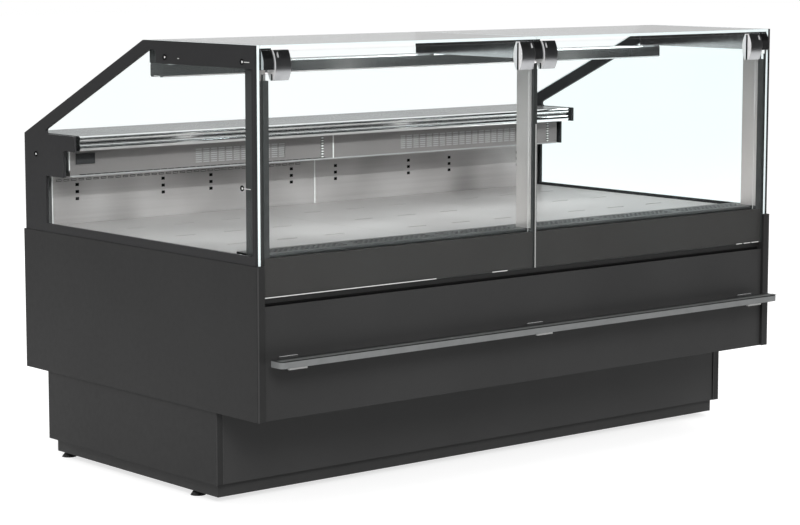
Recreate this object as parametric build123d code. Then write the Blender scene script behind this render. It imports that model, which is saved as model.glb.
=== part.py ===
from build123d import *
import os
from math import sqrt

# Overall size. X is the length, the front looks along -Y, the floor is Z = 0.
LENGTH = 2000
DEPTH = 1165
HEIGHT = 1250
BUMPER_REACH = 66

# Clearances
SEAT = 0.3
RUNNING = 0.05

# Sheet and glass
SHEET = 2
GLASS = 8
FRONT = (BUMPER_REACH - DEPTH) / 2
REAR = FRONT + DEPTH
HALF = LENGTH / 2

# Base: skirt frame on feet, recessed plinth above it
FOOT_GAP = 15
FOOT_PAD = 10
FOOT_RADIUS = 22
FOOT_SIDES = 12
FOOT_TAPER = 35
FOOT_FRONT = 123
FOOT_REAR = 30
STEM_RADIUS = 6
NUT_RADIUS = 11
NUT_HEIGHT = 9
HEX_SIDES = 6
RAIL_SHEET = 3
RAIL_HEIGHT = 38
RAIL_WIDTH = 40
SKIRT_INSET = 18
PLINTH_INSET = 5
PLINTH_HEIGHT = 203
PLINTH_FRONT = 199
PLINTH_REAR = 115
PLINTH_END = 25
PLINTH_FACE = 18
PLINTH_STEP = 3
FRAME_TOP = FOOT_GAP + RAIL_HEIGHT
BODY_BOTTOM = FRAME_TOP + PLINTH_HEIGHT
FRAME_HALF = HALF - PLINTH_INSET - SKIRT_INSET
PLINTH_FRONT_Y = FRONT + PLINTH_FRONT
PLINTH_REAR_Y = REAR - PLINTH_REAR
FRAME_FRONT_Y = PLINTH_FRONT_Y + SKIRT_INSET
FRAME_REAR_Y = PLINTH_REAR_Y - SKIRT_INSET
CELL_COUNT = 3
CELL_LENGTH = (2 * FRAME_HALF - (CELL_COUNT + 1) * RAIL_WIDTH) / CELL_COUNT
FLOOR_SHEET = 3
CROSS_X = (CELL_LENGTH + RAIL_WIDTH) / 2

# Body: end panels, front panels, finger groove
END_PANEL = 25
EDGE_RADIUS = 4
BODY_HEIGHT = 416
BODY_TOP = BODY_BOTTOM + BODY_HEIGHT
INNER_HALF = HALF - END_PANEL
PANEL_GAP = 1
FACE_SET_BACK = 8
FACE_HEIGHT = 307
GROOVE_HEIGHT = 22
BAND_HEIGHT = 104
GROOVE_BOTTOM = BODY_BOTTOM + FACE_HEIGHT
GROOVE_TOP = GROOVE_BOTTOM + GROOVE_HEIGHT
BAND_TOP = GROOVE_TOP + BAND_HEIGHT

# Posts and their seals
POST_SET_BACK = 25
POST_DEPTH = 54
POST_WIDTH = 22
POST_INSET = 40
POST_EDGE = 2
POST_GRIP = 320
SEAL_COVER = 3
POST_XS = (POST_INSET - HALF, 0, HALF - POST_INSET)

# Front panes, set back from the end panels
PANE_SET_BACK = 6
PANE_SEAM = 6
PANE_SIDE_GAP = 3
PANE_MID = FRONT + PANE_SET_BACK + GLASS / 2

# Canopy: arms on the posts, glass on the arms, beam under their rear ends
ARM_HEIGHT = 56
ARM_WIDTH = 16
TOP_DEPTH = 516
ARM_TAIL = 8
BEAM_DEPTH = 62
BEAM_HEIGHT = 38
BEAM_INSET = 3
BEAM_EDGE = 4
LAMP_WIDTH = 30
LAMP_RISE = 4
GLASS_UNDER = HEIGHT - GLASS
ARM_BOTTOM = GLASS_UNDER - ARM_HEIGHT
TOP_REAR = FRONT + PANE_SET_BACK + TOP_DEPTH

# Hinges: lens-shaped clamps on the panes, knuckles on the arms
LENS_HEIGHT = 80
LENS_DEPTH = 39
LENS_BLUNT = 15
CLAMP_LENGTH = 50
CLAMP_GAP = 1
KNUCKLE_WIDTH = 36
KNUCKLE_DROP = 11
KNUCKLE_BACK = 4
PIN_RADIUS = 6
PIN_GRIP = 20
PIN_DROP = 45
NOTCH_DROP = 23
NOTCH_SPARE = 2
SCREW_WIDTH = 6
SCREW_LENGTH = 14
SCREW_DEPTH = 2
SCREW_EDGE = 9
SCREW_RISE = 28
PIN_Z = GLASS_UNDER - PIN_DROP
PANE_TOP_GAP = 8
PANE_TOP = GLASS_UNDER - PANE_TOP_GAP

# End frames and end glass above the end panels
END_FRAME = 9
END_FRAME_INSET = 2
FRAME_SET_BACK = 10
FRAME_REAR_SET = 12
SLOPE_FOOT = 286
SILL = 25
STILE = 12
SLOPE_BAR = 35
TOP_BAR = 61
TOP_STEP = 25
WINDOW_RADIUS = 8

# Service worktop and the stepped back inside the case
WORKTOP_RISE = 289
WORKTOP_DEPTH = 281
NOSE_HEIGHT = 45
BEAD_RADIUS = 9
NOSE_RADIUS = 11
NOSE_DEPTH = 34
DUCT_SET = 223
DUCT_HEIGHT = 78
DUCT_RETURN = 60
BACK_SET = 127
BACK_RETURN = 15
WORKTOP_Z = BODY_TOP + WORKTOP_RISE
NOSE_Y = REAR - WORKTOP_DEPTH
DUCT_Y = REAR - DUCT_SET
BACK_Y = REAR - BACK_SET
NOSE_BOTTOM = WORKTOP_Z - NOSE_HEIGHT
DUCT_BOTTOM = NOSE_BOTTOM - DUCT_HEIGHT

# Air outlet slots and shelf holes
SLOT_LENGTH = 165
SLOT_HEIGHT = 3.2
SLOT_PITCH_X = 170.6
SLOT_PITCH_Z = 6.4
SLOT_COLUMNS = 3
SLOT_ROWS = 7
SLOT_SHIFT = 42
DOT_SIZE = 5
DOT_PITCH = 7.2
DOT_COUNT = 9
DOT_EDGE = 43
HOLE_WIDTH = 9
HOLE_HEIGHT = 7
HOLE_PITCH = 21
HOLE_ROWS = 3
HOLE_DROP = 54
HOLE_COLUMNS = (-402, -95, 83, 393)
DISPLAY_WIDTH = 65
DISPLAY_HEIGHT = 31
DISPLAY_DEPTH = 4
DISPLAY_EDGE = 20
DISPLAY_DROP = 10

# Insulated tub
REAR_SKIN = 10
REAR_RECESS = 5
WALL = 50
REAR_WALL = 65
TUB_FLOOR = 60
RAIL_RISE = 32
GUTTER = 40
GUTTER_DROP = 10
GUTTER_FRONT = 300
DECK_RIM = 18
DECK_RISE = 1
DECK_Z = BAND_TOP + DECK_RISE
RAIL_TOP = DECK_Z - DECK_RIM
TUB_RIM = RAIL_TOP - RAIL_RISE
FLOOR_Z = BODY_BOTTOM + TUB_FLOOR
TUB_FRONT_Y = FRONT + POST_SET_BACK + POST_DEPTH
TUB_REAR_Y = REAR - REAR_RECESS - REAR_SKIN
CAVITY_FRONT_Y = TUB_FRONT_Y + WALL
CAVITY_REAR_Y = TUB_REAR_Y - REAR_WALL

# Deck plates and return air grille
DECK_COUNT = 3
DECK_GAP = 1
DRAIN_SLOT = 70
DRAIN_WIDTH = 6
DRAIN_COLUMNS = 3
DRAIN_ROWS = 3
DRAIN_PITCH_X = 170
DRAIN_PITCH_Y = 250
RAIL_LEDGE = 74
GRILLE_FRONT = 27
GRILLE_RISE = 10
GRILLE_SLOT_RATIO = 0.88
GRILLE_GAP = 9
GRILLE_PITCH = 20
GRILLE_ROWS = 3
GRILLE_BAYS = 3
GRILLE_CLEAR = 3
GRILLE_Z = DECK_Z + GRILLE_RISE

# Evaporator, fans and drain
COIL_INSET = 175
COIL_DEPTH = 180
COIL_HEIGHT = 210
COIL_FRONT = 600
FIN = 4
FIN_COUNT = 17
FIN_CORE = 24
FAN_PLATE_FRONT = 470
FAN_PLATE_INSET = 25
FAN_PLACE = 0.4
FAN_XS = (-FAN_PLACE * HALF, FAN_PLACE * HALF)
FAN_RISE = 150
FAN_RADIUS = 104
FAN_CLEAR = 6
FAN_DEPTH = 22
HUB_RADIUS = 30
HUB_SINK = 6
BLADE_COUNT = 5
BLADE = 2
BLADE_CHORD = 40
BLADE_CAMBER = 4
BLADE_PITCH = 28
SHAFT_RADIUS = 4
SHAFT_SPARE = 4
FAN_GAP = 3
MOTOR_RADIUS = 36
MOTOR_LENGTH = 60
SPIDER_WIDTH = 16
SPIDER = 4
SPIDER_LAP = 14
DRAIN_RADIUS = 17
SPIGOT_RADIUS = 16
DRAIN_WALL = 2.5
DRAIN_PLACE = 0.2
DRAIN_X = -DRAIN_PLACE * HALF
DRAIN_DROP = 100
DRAIN_TAIL = 40

# Condensing unit in the plinth
UNIT_FAN_RADIUS = 72
UNIT_FAN_RISE = 88
UNIT_INSET = 440
UNIT_X = HALF - UNIT_INSET
CONDENSER_LENGTH = 300
CONDENSER_DEPTH = 46
CONDENSER_HEIGHT = 168
CONDENSER_FINS = 8
CONDENSER_GAP = 24
SHROUD = 3
SHROUD_GAP = 30
POT_RADIUS = 78
POT_HEIGHT = 150
POT_CORNER = 45
BOX_WIDTH = 60
BOX_REACH = 22
BOX_BOTTOM = 55
BOX_TOP = 120
POT_INSET = 170
POT_X = HALF - POT_INSET
POT_BACK = 260
POT_FOOT = 10
LOUVRE_LENGTH = 90
LOUVRE_HEIGHT = 8
LOUVRE_PITCH_X = 105
LOUVRE_PITCH_Z = 30
LOUVRE_COLUMNS = 3
LOUVRE_ROWS = 4
GLAND_INSET = 140
GLAND_X = HALF - GLAND_INSET
GLAND_Z = 205
GLAND_RADIUS = 10
GLAND_HEX = 14
GLAND_NUT = 8
GLAND_CAP = 14

# Rear control panel
CONTROL_INSET = 440
CONTROL_X = HALF - CONTROL_INSET
CONTROL_DROP = 75
CONTROL_LENGTH = 240
CONTROL_HEIGHT = 80
CONTROL_DEPTH = 30
SWITCH_XS = (40, 80)
SWITCH_WIDTH = 13
SWITCH_HALF = 9
SWITCH_DISH = 1.5
SWITCH_FACE = 5
SWITCH_BACK = 4
SWITCH_SINK = 4
SWITCH_POCKET = 11
PIVOT_RADIUS = 1.5
PIVOT_REACH = 2.5
SCREEN_LENGTH = 62
SCREEN_HEIGHT = 26
SCREEN_X = -50
SCREEN_SINK = 1
CONTROL_Z = WORKTOP_Z - CONTROL_DROP
REAR_FACE_Y = REAR - REAR_RECESS
SWITCH_Y = REAR_FACE_Y - SWITCH_SINK

# Bumper bar
BAR_INSET = 29
BAR_DEPTH = 47
BAR_HEIGHT = 20
BAR_Z = 406
BAR_EDGE = 3
BAR_CORNER = 14
BRACKET_WIDTH = 60
BRACKET = 7
BRACKET_REACH = 32
BRACKET_INSET = 105


def span(x0, x1, y0, y1, z0, z1):
    """Block between two corners."""
    centre = Pos((x0 + x1) / 2, (y0 + y1) / 2, (z0 + z1) / 2)
    return centre * Box(x1 - x0, y1 - y0, z1 - z0)


def outline(*points):
    """Face inside straight edges."""
    return make_face(Polyline(*points, close=True))


def along_x(face, x0, x1):
    """Extrude a (y, z) profile from x0 to x1."""
    return extrude(Plane.YZ.offset(x0) * face, amount=x1 - x0)


def upright(face, z0, z1):
    """Extrude an (x, y) profile from z0 to z1."""
    return extrude(Plane.XY.offset(z0) * face, amount=z1 - z0)


def folded(points, side):
    """Profile of bent sheet, with its outer skin on the points."""
    skin = Polyline(*points)
    return make_face(offset(skin, amount=SHEET, kind=Kind.INTERSECTION, side=side))


def holes_along_y(face, y0, y1):
    """Cutter made of an (x, z) face, from y0 to y1."""
    return extrude(Plane.XZ.offset(-y1) * face, amount=y1 - y0)


def rod(radius, start, end):
    """Round bar between two points."""
    return extrude(Plane(origin=start, z_dir=Vector(*end) - Vector(*start)) * Circle(radius),
                   amount=(Vector(*end) - Vector(*start)).length)


def mirrored(part):
    """Copy on the other side of the case."""
    return mirror(part, about=Plane.YZ)


# Base

def foot_places():
    """Centres of the levelling feet under the end rails and cross rails."""
    end = FRAME_HALF - RAIL_WIDTH / 2
    rows = (FRAME_FRONT_Y + FOOT_FRONT, FRAME_REAR_Y - FOOT_REAR)
    return [(x, y) for x in (-end, -CROSS_X, CROSS_X, end) for y in rows]


def base_frame():
    """Ring of channel rails with two cross rails and a floor sheet under the unit."""
    depth = FRAME_REAR_Y - FRAME_FRONT_Y
    middle = (FRAME_FRONT_Y + FRAME_REAR_Y) / 2
    plan = Pos(0, middle) * Rectangle(2 * FRAME_HALF, depth)
    for index in range(CELL_COUNT):
        x = (index - (CELL_COUNT - 1) / 2) * (CELL_LENGTH + RAIL_WIDTH)
        plan -= Pos(x, middle) * Rectangle(CELL_LENGTH, depth - 2 * RAIL_WIDTH)
    frame = upright(plan, FOOT_GAP, FRAME_TOP)
    hollow = offset(plan, amount=-RAIL_SHEET, kind=Kind.INTERSECTION)
    frame -= upright(hollow, FOOT_GAP, FRAME_TOP - RAIL_SHEET)
    return frame + span(CROSS_X, FRAME_HALF - RAIL_WIDTH / 2, FRAME_FRONT_Y + RAIL_WIDTH / 2,
                        FRAME_REAR_Y - RAIL_WIDTH / 2, FRAME_TOP - FLOOR_SHEET, FRAME_TOP)


def levelling_feet():
    """Screw feet: a tapered pad, a stem and its nut under the top of the rail."""
    top = FRAME_TOP - RAIL_SHEET
    foot = extrude(RegularPolygon(FOOT_RADIUS, FOOT_SIDES), amount=FOOT_PAD, taper=FOOT_TAPER)
    foot += upright(RegularPolygon(STEM_RADIUS, HEX_SIDES), FOOT_PAD, top)
    foot += upright(RegularPolygon(NUT_RADIUS, HEX_SIDES), top - NUT_HEIGHT, top)
    return Compound([Pos(x, y, 0) * foot for x, y in foot_places()])


def tray(x0, x1, y0, y1, z0, z1, inside):
    """Folded panel, hollow towards the side that inside shifts it to."""
    hollow = span(x0 + SHEET, x1 - SHEET, y0 + SHEET, y1 - SHEET, z0 + SHEET, z1 - SHEET)
    dx, dy, dz = inside
    return span(x0, x1, y0, y1, z0, z1) - hollow - Pos(dx * SHEET, dy * SHEET, dz * SHEET) * hollow


def end_plinth_panel():
    """Left end of the plinth, covering the ends of the front and rear panels."""
    outer = PLINTH_INSET - HALF
    return tray(outer, outer + PLINTH_END, PLINTH_FRONT_Y, PLINTH_REAR_Y, FRAME_TOP, BODY_BOTTOM, (1, 0, 0))


def plinth_half():
    """Half length of the front and rear plinth panels."""
    return HALF - PLINTH_INSET - PLINTH_END


def front_plinth_panel():
    half = plinth_half()
    face = PLINTH_FRONT_Y + PLINTH_STEP
    return tray(-half, half, face, face + PLINTH_FACE, FRAME_TOP, BODY_BOTTOM, (0, 1, 0))


def rear_plinth_panel():
    """Rear plinth with air slots behind the condenser, drain and cable holes."""
    half = plinth_half()
    face = PLINTH_REAR_Y - PLINTH_STEP
    panel = tray(-half, half, face - PLINTH_FACE, face, FRAME_TOP, BODY_BOTTOM, (0, -1, 0))
    slots = Sketch() + [
        place * Rectangle(LOUVRE_LENGTH, LOUVRE_HEIGHT)
        for place in GridLocations(LOUVRE_PITCH_X, LOUVRE_PITCH_Z, LOUVRE_COLUMNS, LOUVRE_ROWS)
    ]
    middle = (FRAME_TOP + BODY_BOTTOM) / 2
    cutter = Pos(UNIT_X, middle) * slots
    cutter += Pos(DRAIN_X, drain_z()) * Circle(DRAIN_RADIUS + SEAT)
    cutter += Pos(GLAND_X, GLAND_Z) * RegularPolygon(GLAND_RADIUS + SEAT, HEX_SIDES)
    return panel - holes_along_y(cutter, face - PLINTH_FACE, face)


def trestle():
    """Right trestle: a folded channel on a cross rail, up to the tub."""
    half = RAIL_WIDTH / 2
    return tray(CROSS_X - half, CROSS_X + half, FRAME_FRONT_Y + RAIL_WIDTH, FRAME_REAR_Y - RAIL_WIDTH,
                FRAME_TOP, BODY_BOTTOM, (1, 0, 0))


# Body

def end_panel():
    """Left insulated end panel with rounded upright edges."""
    panel = span(-HALF, -INNER_HALF, FRONT, REAR, BODY_BOTTOM, BODY_TOP)
    return fillet(panel.edges().filter_by(Axis.Z).group_by(Axis.X)[0], EDGE_RADIUS)


def insulated_tub():
    """Foamed tub: low front wall, flat floor with a gutter, rear wall up to the worktop."""
    gutter = FRONT + GUTTER_FRONT
    section = outline(
        (TUB_FRONT_Y, BODY_BOTTOM), (TUB_FRONT_Y, TUB_RIM), (CAVITY_FRONT_Y, TUB_RIM),
        (CAVITY_FRONT_Y, FLOOR_Z), (gutter, FLOOR_Z), (gutter + GUTTER_DROP, FLOOR_Z - GUTTER_DROP),
        (gutter + GUTTER, FLOOR_Z - GUTTER_DROP), (gutter + GUTTER + GUTTER_DROP, FLOOR_Z),
        (CAVITY_REAR_Y, FLOOR_Z), (CAVITY_REAR_Y, WORKTOP_Z - SHEET),
        (TUB_REAR_Y, WORKTOP_Z - SHEET), (TUB_REAR_Y, BODY_BOTTOM))
    tub = along_x(section, -INNER_HALF, INNER_HALF)
    tub -= rod(DRAIN_RADIUS + SEAT, (DRAIN_X, drain_y(), BODY_BOTTOM), (DRAIN_X, drain_y(), FLOOR_Z))
    return tub - control_block(SEAT)


def lower_front_panel():
    """Front panel with a return at its foot and one under the finger groove."""
    face = FRONT + FACE_SET_BACK
    groove = FRONT + POST_SET_BACK - SHEET - SEAT
    profile = folded([(TUB_FRONT_Y - SEAT, BODY_BOTTOM), (face, BODY_BOTTOM),
                      (face, GROOVE_BOTTOM), (groove, GROOVE_BOTTOM)], Side.RIGHT)
    half = INNER_HALF - PANEL_GAP
    return along_x(profile, -half, half)


def upper_front_band():
    """Band behind the glass foot, folded back and down as the wall of the groove."""
    face = FRONT + PANE_SET_BACK + GLASS + SEAT
    wall = FRONT + POST_SET_BACK - SHEET
    profile = folded([(wall, GROOVE_BOTTOM - FACE_SET_BACK), (wall, GROOVE_TOP), (face, GROOVE_TOP),
                      (face, BAND_TOP), (wall + SHEET, BAND_TOP)], Side.RIGHT)
    half = INNER_HALF - PANEL_GAP
    return along_x(profile, -half, half)


def bumper_bar():
    """Flat bar in front of the case with rounded ends."""
    half = HALF - BAR_INSET
    front = FRONT - BUMPER_REACH
    bar = span(-half, half, front, front + BAR_DEPTH, BAR_Z, BAR_Z + BAR_HEIGHT)
    bar = fillet(bar.edges().filter_by(Axis.Z).group_by(Axis.Y)[0], BAR_CORNER)
    return chamfer(bar.faces().sort_by(Axis.Z)[-1].edges(), BAR_EDGE)


def bumper_brackets():
    """Angle brackets that carry the bar from the front panel."""
    face = FRONT + FACE_SET_BACK
    front = FRONT - BRACKET_REACH
    top = BAR_Z + BAR_HEIGHT
    profile = outline((front, BAR_Z - BRACKET), (face, BAR_Z - BRACKET), (face, top),
                      (face - BRACKET, top), (face - BRACKET, BAR_Z), (front, BAR_Z))
    end = HALF - BRACKET_INSET
    half = BRACKET_WIDTH / 2
    return Compound([along_x(profile, x - half, x + half) for x in (-end, 0, end)])


# End frames and glass

def end_outline():
    """Outer outline of the end glazing: square front, sloping rear top."""
    front = FRONT + FRAME_SET_BACK
    rear = REAR - FRAME_REAR_SET
    knee = BODY_TOP + SLOPE_FOOT
    return [(front, BODY_TOP), (rear, BODY_TOP), (rear, knee), (TOP_REAR, HEIGHT), (front, HEIGHT)]


def end_window():
    """Clear part of the end frame, stepped round the worktop, duct and back panel."""
    front, foot, knee, crown, _ = end_outline()
    slope = (crown[1] - knee[1]) / (crown[0] - knee[0])
    knee_z = knee[1] - SLOPE_BAR * sqrt(1 + slope ** 2)

    def under_slope(y):
        return knee_z + (y - knee[0]) * slope

    beam = TOP_REAR - BEAM_DEPTH
    bar = HEIGHT - TOP_BAR
    step = HEIGHT - TOP_STEP
    heel = knee[0] + (WORKTOP_Z - knee_z) / slope
    bend = knee[0] + (step - knee_z) / slope
    stile = front[0] + STILE
    sill = BODY_TOP + SILL
    window = outline(
        (stile, sill), (stile, bar), (beam, bar), (beam, step), (bend, step), (heel, WORKTOP_Z),
        (NOSE_Y, WORKTOP_Z), (NOSE_Y, NOSE_BOTTOM),
        (DUCT_Y, NOSE_BOTTOM), (DUCT_Y, DUCT_BOTTOM),
        (BACK_Y, DUCT_BOTTOM), (BACK_Y, sill))
    corners = window.vertices().sort_by(Axis.X)
    near_sill = corners.filter_by(lambda v: abs(v.Y - under_slope(v.X)) < 1)
    return fillet(near_sill, WINDOW_RADIUS)


def end_frame():
    """Left end frame plate."""
    outer = END_FRAME_INSET - HALF
    return along_x(outline(*end_outline()) - end_window(), outer, outer + END_FRAME)


def end_glass():
    """Left end glass, inside its frame, with a bare polished front edge."""
    outer = END_FRAME_INSET - HALF + END_FRAME
    return along_x(outline(*end_outline()), outer, outer + GLASS)


# Posts, canopy and hinges

def post(x):
    """Flat upright bar with eased edges, bolted to the front of the tub."""
    front = FRONT + POST_SET_BACK
    plan = chamfer(Rectangle(POST_WIDTH, POST_DEPTH).vertices(), POST_EDGE)
    return upright(Pos(x, front + POST_DEPTH / 2) * plan, BODY_TOP - POST_GRIP, ARM_BOTTOM)


def post_seals():
    """Seal strips on the post fronts. Those at the ends also cover the outer side of post and arm."""
    front = FRONT + PANE_SET_BACK + GLASS + SEAT
    post_front = FRONT + POST_SET_BACK
    half = POST_WIDTH / 2
    foot = BAND_TOP + SEAT
    head = PIN_Z - LENS_HEIGHT / 2
    strip = span(-half, half, front, post_front, foot, head)
    side = outline((front, foot), (post_front + POST_DEPTH, foot), (post_front + POST_DEPTH, ARM_BOTTOM),
                   (TOP_REAR, ARM_BOTTOM), (TOP_REAR, GLASS_UNDER), (post_front, GLASS_UNDER),
                   (post_front, head), (front, head))
    cover = along_x(side, half, half + SEAL_COVER)
    cover += span(ARM_WIDTH / 2, half, post_front, TOP_REAR, ARM_BOTTOM, GLASS_UNDER)
    end = Pos(POST_XS[2], 0, 0) * (strip + cover)
    return Compound([mirrored(end), strip, end])


def canopy_arms():
    """Bars from the posts back over the goods, under the top glass."""
    front = FRONT + POST_SET_BACK
    half = ARM_WIDTH / 2
    return Compound([span(x - half, x + half, front, TOP_REAR + ARM_TAIL, ARM_BOTTOM, GLASS_UNDER)
                     for x in POST_XS])


def top_glass():
    """Left top pane, from the middle seam to the end glass."""
    outer = END_FRAME_INSET - HALF + END_FRAME + GLASS + SEAT
    return span(outer, -PANE_SEAM / 2, TOP_REAR - TOP_DEPTH, TOP_REAR, GLASS_UNDER, HEIGHT)


def beam_section():
    """Canopy beam with eased edges and a channel for the lamp."""
    middle = TOP_REAR - BEAM_DEPTH / 2
    bottom = ARM_BOTTOM - BEAM_HEIGHT
    body = chamfer(Rectangle(BEAM_DEPTH, BEAM_HEIGHT).vertices(), BEAM_EDGE)
    channel = Pos(middle, bottom) * Rectangle(LAMP_WIDTH, 2 * LAMP_RISE)
    return Pos(middle, bottom + BEAM_HEIGHT / 2) * body - channel


def beam_half():
    return INNER_HALF - BEAM_INSET


def canopy_beam():
    return along_x(beam_section(), -beam_half(), beam_half())


def led_lamp():
    """Lamp strip in the channel of the beam."""
    middle = TOP_REAR - BEAM_DEPTH / 2
    bottom = ARM_BOTTOM - BEAM_HEIGHT
    half = LAMP_WIDTH / 2 - SEAT
    section = outline((middle - half, bottom + SHEET), (middle + half, bottom + SHEET),
                      (middle + half, bottom + LAMP_RISE), (middle - half, bottom + LAMP_RISE))
    return along_x(section, -beam_half(), beam_half())


def lens_section():
    """Lens profile of a clamp: two arcs with blunt ends."""
    tall = LENS_HEIGHT / 2
    wide = LENS_DEPTH / 2
    blunt = LENS_BLUNT / 2
    front = ThreePointArc((-blunt, -tall), (-wide, 0), (-blunt, tall))
    rear = ThreePointArc((blunt, tall), (wide, 0), (blunt, -tall))
    top = Line((-blunt, tall), (blunt, tall))
    foot = Line((blunt, -tall), (-blunt, -tall))
    return Pos(PANE_MID, PIN_Z) * make_face([front, top, rear, foot])


def knuckle_x(x):
    """Edges of the knuckle on the post at x."""
    return x - KNUCKLE_WIDTH / 2, x + KNUCKLE_WIDTH / 2


def hinge_knuckles():
    """Fixed knuckles on the arm ends: the clamp's lens shape, cut off under the pin."""
    post_front = FRONT + POST_SET_BACK
    foot = PIN_Z - KNUCKLE_DROP
    back = outline((PANE_MID, foot), (post_front, foot), (post_front, GLASS_UNDER - SEAT),
                   (PANE_MID, GLASS_UNDER - SEAT))
    below = Pos(PANE_MID, foot - LENS_HEIGHT / 2) * Rectangle(2 * LENS_DEPTH, LENS_HEIGHT)
    behind = outline((post_front, foot), (post_front + LENS_DEPTH, foot),
                     (post_front + LENS_DEPTH, HEIGHT), (post_front, HEIGHT))
    section = Pos(KNUCKLE_BACK, 0) * lens_section() - below - behind + back
    section -= Pos(PANE_MID, PIN_Z) * Circle(PIN_RADIUS + RUNNING)
    return Compound([along_x(section, *knuckle_x(x)) for x in POST_XS])


def hinge_pins():
    """Pins through the knuckles, with a stub in each clamp beside them."""
    pins = []
    for x in POST_XS:
        low, high = knuckle_x(x)
        low -= PIN_GRIP if x > -INNER_HALF / 2 else 0
        high += PIN_GRIP if x < INNER_HALF / 2 else 0
        pins.append(rod(PIN_RADIUS, (low, PANE_MID, PIN_Z), (high, PANE_MID, PIN_Z)))
    return Compound(pins)


def clamp_places():
    """Inner edges of the two clamps on the left pane, with the way to the middle of each."""
    return [(knuckle_x(POST_XS[0])[1] + CLAMP_GAP, 1), (knuckle_x(POST_XS[1])[0] - CLAMP_GAP, -1)]


def front_pane():
    """Left front pane with its upper corners cut away round the knuckles."""
    left = PANE_SIDE_GAP - INNER_HALF
    right = -PANE_SEAM / 2
    face = FRONT + PANE_SET_BACK
    pane = span(left, right, face, face + GLASS, GROOVE_TOP + SEAT, PANE_TOP)
    for (edge, way), end in zip(clamp_places(), (left, right)):
        inner = edge + way * (PIN_GRIP + NOTCH_SPARE)
        pane -= span(min(end, inner), max(end, inner), face, face + GLASS, PIN_Z - NOTCH_DROP, PANE_TOP)
    return pane


def pane_clamps():
    """Clamp halves on the left pane, with pin bores and screw recesses."""
    pane = front_pane()
    top = PIN_Z + LENS_HEIGHT
    front_half = span(-HALF, 0, FRONT - LENS_DEPTH, PANE_MID, PIN_Z - LENS_HEIGHT, top)
    halves = []
    for edge, way in clamp_places():
        far = edge + way * CLAMP_LENGTH
        clamp = along_x(lens_section(), min(edge, far), max(edge, far)) - pane
        bore = edge + way * (PIN_GRIP + RUNNING)
        clamp -= rod(PIN_RADIUS + RUNNING, (edge, PANE_MID, PIN_Z), (bore, PANE_MID, PIN_Z))
        recess = Pos(edge + way * SCREW_EDGE, PIN_Z + SCREW_RISE) * Rectangle(SCREW_WIDTH, SCREW_LENGTH)
        clamp -= holes_along_y(recess, PANE_MID - LENS_DEPTH, PANE_MID - LENS_BLUNT / 2 - SCREW_DEPTH)
        halves += (clamp & front_half).solids()
        halves += (clamp - front_half).solids()
    return Compound(halves)


# Stepped back of the display

def service_worktop():
    """Worktop sheet with a double-rolled nose."""
    front = NOSE_Y
    rear = REAR - FRAME_REAR_SET
    run = rear - front - BEAD_RADIUS
    top = Pos(rear - run / 2, WORKTOP_Z - SHEET / 2) * Rectangle(run, SHEET)
    bead = Pos(front + BEAD_RADIUS, WORKTOP_Z - BEAD_RADIUS) * Circle(BEAD_RADIUS)
    roll = Pos(front + NOSE_RADIUS, NOSE_BOTTOM + NOSE_RADIUS) * Circle(NOSE_RADIUS)
    web = outline((front + BEAD_RADIUS, WORKTOP_Z), (front + NOSE_DEPTH, WORKTOP_Z),
                  (front + NOSE_DEPTH, NOSE_BOTTOM), (front + NOSE_RADIUS, NOSE_BOTTOM))
    half = INNER_HALF - SHEET
    return along_x(top + web + bead + roll, -half, half)


def left_run():
    """Ends of a left inner panel: at the end glass and at the middle seam."""
    return SHEET - INNER_HALF, -PANEL_GAP / 2


def past_seam(part):
    """Copy of a left inner panel on the right of the middle seam."""
    left, right = left_run()
    return Pos(right - left + PANEL_GAP, 0, 0) * part


def duct_panel():
    """Left air outlet panel with its slot field and a column of small holes."""
    face = DUCT_Y
    left, right = left_run()
    profile = folded([(BACK_Y + SHEET, DUCT_BOTTOM), (face, DUCT_BOTTOM),
                      (face, NOSE_BOTTOM), (face + DUCT_RETURN, NOSE_BOTTOM)], Side.RIGHT)
    middle_z = (DUCT_BOTTOM + NOSE_BOTTOM) / 2
    slots = Sketch() + [
        place * Rectangle(SLOT_LENGTH, SLOT_HEIGHT)
        for place in GridLocations(SLOT_PITCH_X, SLOT_PITCH_Z, SLOT_COLUMNS, SLOT_ROWS)
    ]
    dots = Sketch() + [
        place * Rectangle(DOT_SIZE, DOT_SIZE)
        for place in GridLocations(1, DOT_PITCH, 1, DOT_COUNT)
    ]
    field = Pos((left + right) / 2 + SLOT_SHIFT, middle_z) * slots
    column = Pos(right - DOT_EDGE, middle_z) * dots
    return along_x(profile, left, right) - holes_along_y(field + column, face, face + SHEET)


def back_panel():
    """Left back panel with columns of shelf holes."""
    face = BACK_Y
    left, right = left_run()
    profile = folded([(face, RAIL_TOP), (face, DUCT_BOTTOM), (face + BACK_RETURN, DUCT_BOTTOM)], Side.RIGHT)
    holes = Sketch() + [
        Pos(x, -HOLE_DROP) * place * Rectangle(HOLE_WIDTH, HOLE_HEIGHT)
        for x in HOLE_COLUMNS
        for place in GridLocations(1, HOLE_PITCH, 1, HOLE_ROWS)
    ]
    cutter = Pos((left + right) / 2, DUCT_BOTTOM) * holes
    return along_x(profile, left, right) - holes_along_y(cutter, face, face + SHEET)


def thermometer_display():
    """Blank display on the left duct panel."""
    left = left_run()[0] + DISPLAY_EDGE
    face = DUCT_Y
    top = NOSE_BOTTOM - DISPLAY_DROP
    plate = span(left, left + DISPLAY_WIDTH, face - DISPLAY_DEPTH, face, top - DISPLAY_HEIGHT, top)
    return chamfer(plate.faces().sort_by(Axis.Y)[0].edges(), DISPLAY_DEPTH / 4)


# Deck

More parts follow.
